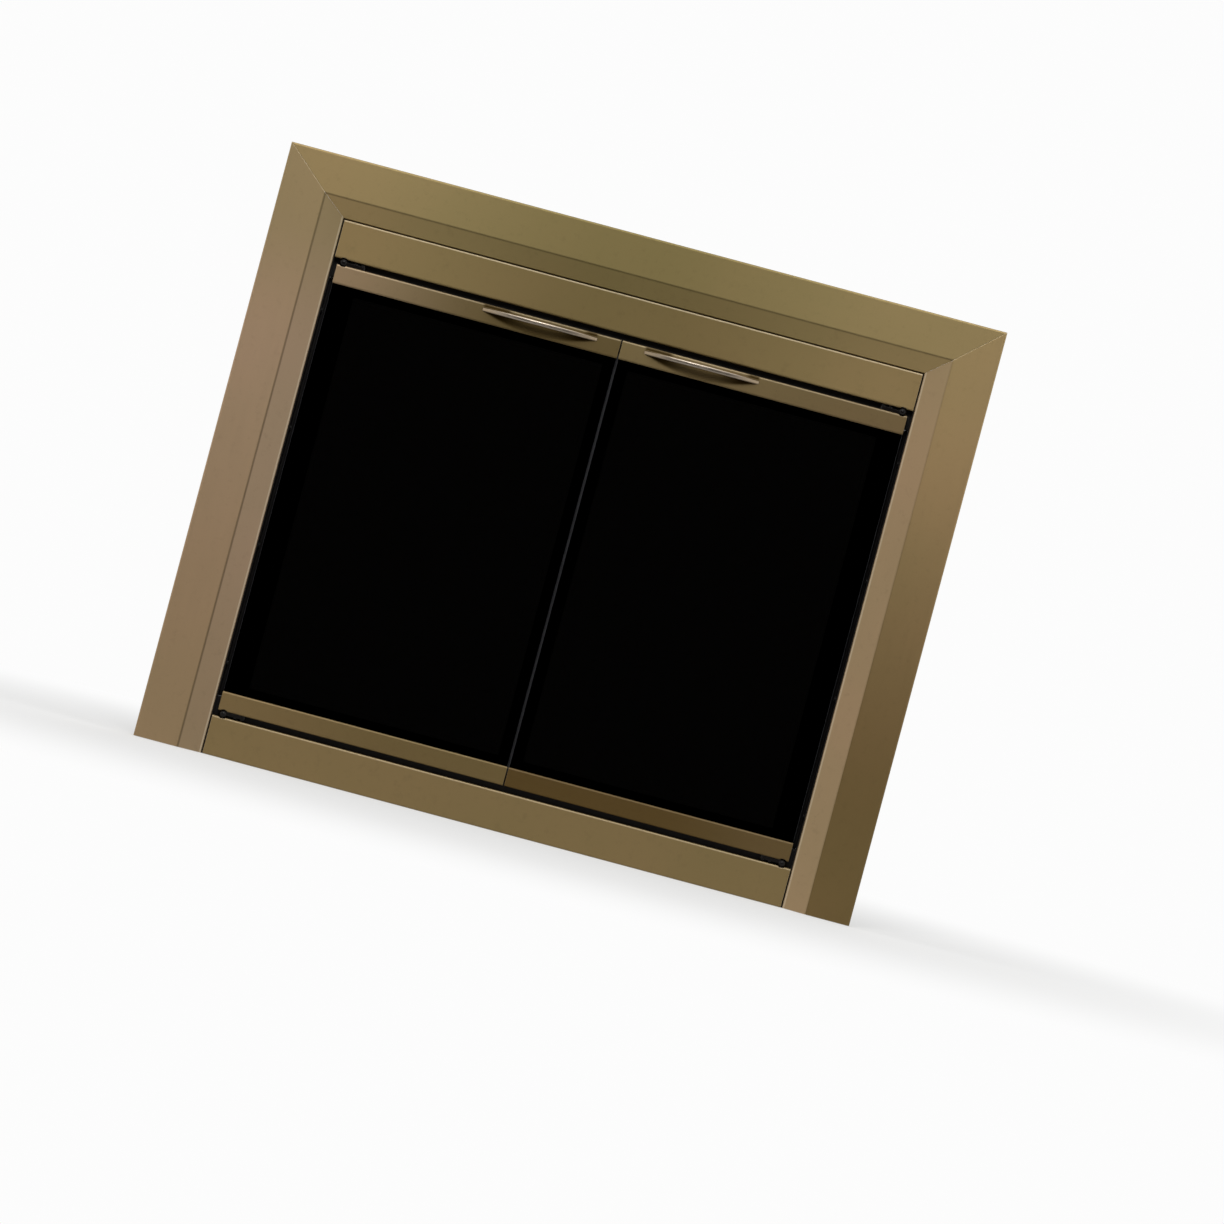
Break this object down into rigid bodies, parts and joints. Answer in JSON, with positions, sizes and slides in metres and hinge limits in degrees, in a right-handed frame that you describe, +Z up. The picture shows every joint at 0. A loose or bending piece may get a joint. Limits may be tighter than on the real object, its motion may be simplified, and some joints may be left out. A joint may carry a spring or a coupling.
{
  "type": "fireplace glass door",
  "caption": "Cabinet-style fireplace door set: mitred brass surround, twin smoked glass doors with bow handles, mesh gates and a draft slide.",
  "frame": {"origin": "on the hearth, at the middle of the width, in the plane of the wall that the surround lies on", "axes": "+X to the right seen from the room, +Y back into the fireplace, +Z up; the doors are on the -Y side"},
  "size_m": [1.025, 0.139, 0.85],
  "materials": {
    "antique_brass": "satin antique brass",
    "handle_brass": "polished antique brass",
    "black_steel": "satin black heat-proof paint",
    "black_screws": "black oxide",
    "gate_mesh": "matt black woven wire",
    "smoked_glass": "smoked tempered glass",
    "glass_seal": "matt",
    "zinc_steel": "zinc plated",
    "bush_bronze": "machined",
    "catch_plastic": "moulded",
    "insulation": "glass fibre strip"
  },
  "bodies": {
    "frame": {"surround_left": "antique_brass", "surround_top": "antique_brass", "surround_right": "antique_brass", "corner_keys": "black_steel", "corner_key_screws": "zinc_steel", "lintel_rail": "antique_brass", "sill_rail": "antique_brass", "head_channel": "black_steel", "sill_channel": "black_steel", "jamb_left": "black_steel", "jamb_right": "black_steel", "jamb_screws": "black_screws", "inner_corner_angles": "black_steel", "frame_screws": "black_screws", "pivot_brackets": "black_steel", "pivot_bushes": "bush_bronze", "magnetic_catches": "catch_plastic", "lintel_clamp_arms": "black_steel", "lintel_clamp_plates": "black_steel", "lintel_clamp_bolts": "zinc_steel", "lintel_clamp_wing_nuts": "zinc_steel", "floor_brackets": "black_steel", "insulation_strips": "insulation", "slide_guide_pins": "zinc_steel"},
    "draft": {"draft_slide": "black_steel", "draft_tab": "black_steel"},
    "left_door": {"left_glass": "smoked_glass", "left_top_rail": "antique_brass", "left_bottom_rail": "antique_brass", "left_glass_seals": "glass_seal", "left_handle": "handle_brass", "left_handle_screws": "zinc_steel", "left_top_hinge": "black_steel", "left_bottom_hinge": "black_steel", "left_hinge_screws": "black_screws", "left_pivot_pins": "zinc_steel", "left_strike": "zinc_steel"},
    "right_door": {"right_glass": "smoked_glass", "right_top_rail": "antique_brass", "right_bottom_rail": "antique_brass", "right_glass_seals": "glass_seal", "right_handle": "handle_brass", "right_handle_screws": "zinc_steel", "right_top_hinge": "black_steel", "right_bottom_hinge": "black_steel", "right_hinge_screws": "black_screws", "right_pivot_pins": "zinc_steel", "right_strike": "zinc_steel"},
    "left_gate": {"left_gate_frame": "black_steel", "left_gate_mesh": "gate_mesh", "left_gate_retainer": "black_steel", "left_gate_seal": "glass_seal", "left_gate_pins": "zinc_steel", "left_gate_pull": "black_steel"},
    "right_gate": {"right_gate_frame": "black_steel", "right_gate_mesh": "gate_mesh", "right_gate_retainer": "black_steel", "right_gate_seal": "glass_seal", "right_gate_pins": "zinc_steel", "right_gate_pull": "black_steel"}
  },
  "joints": [
    {"name": "left_door_hinge", "type": "hinge", "parent": "frame", "child": "left_door", "pos_m": [-0.401, -0.024, 0.3835], "axis": [0, 0, -1], "range_deg": [0, 110]},
    {"name": "right_door_hinge", "type": "hinge", "parent": "frame", "child": "right_door", "pos_m": [0.401, -0.024, 0.3835], "axis": [0, 0, 1], "range_deg": [0, 110]},
    {"name": "left_gate_hinge", "type": "hinge", "parent": "frame", "child": "left_gate", "pos_m": [-0.389, -0.0075, 0.3835], "axis": [0, 0, -1], "range_deg": [0, 90]},
    {"name": "right_gate_hinge", "type": "hinge", "parent": "frame", "child": "right_gate", "pos_m": [0.389, -0.0075, 0.3835], "axis": [0, 0, 1], "range_deg": [0, 90]},
    {"name": "draft_slide_travel", "type": "slide", "parent": "frame", "child": "draft", "axis": [1, 0, 0], "range_m": [0, 0.03]}
  ],
  "couplings": [
    {"joint": "left_gate_hinge", "follows": "left_door_hinge", "ratio": 0.8},
    {"joint": "right_gate_hinge", "follows": "right_door_hinge", "ratio": 0.8}
  ]
}
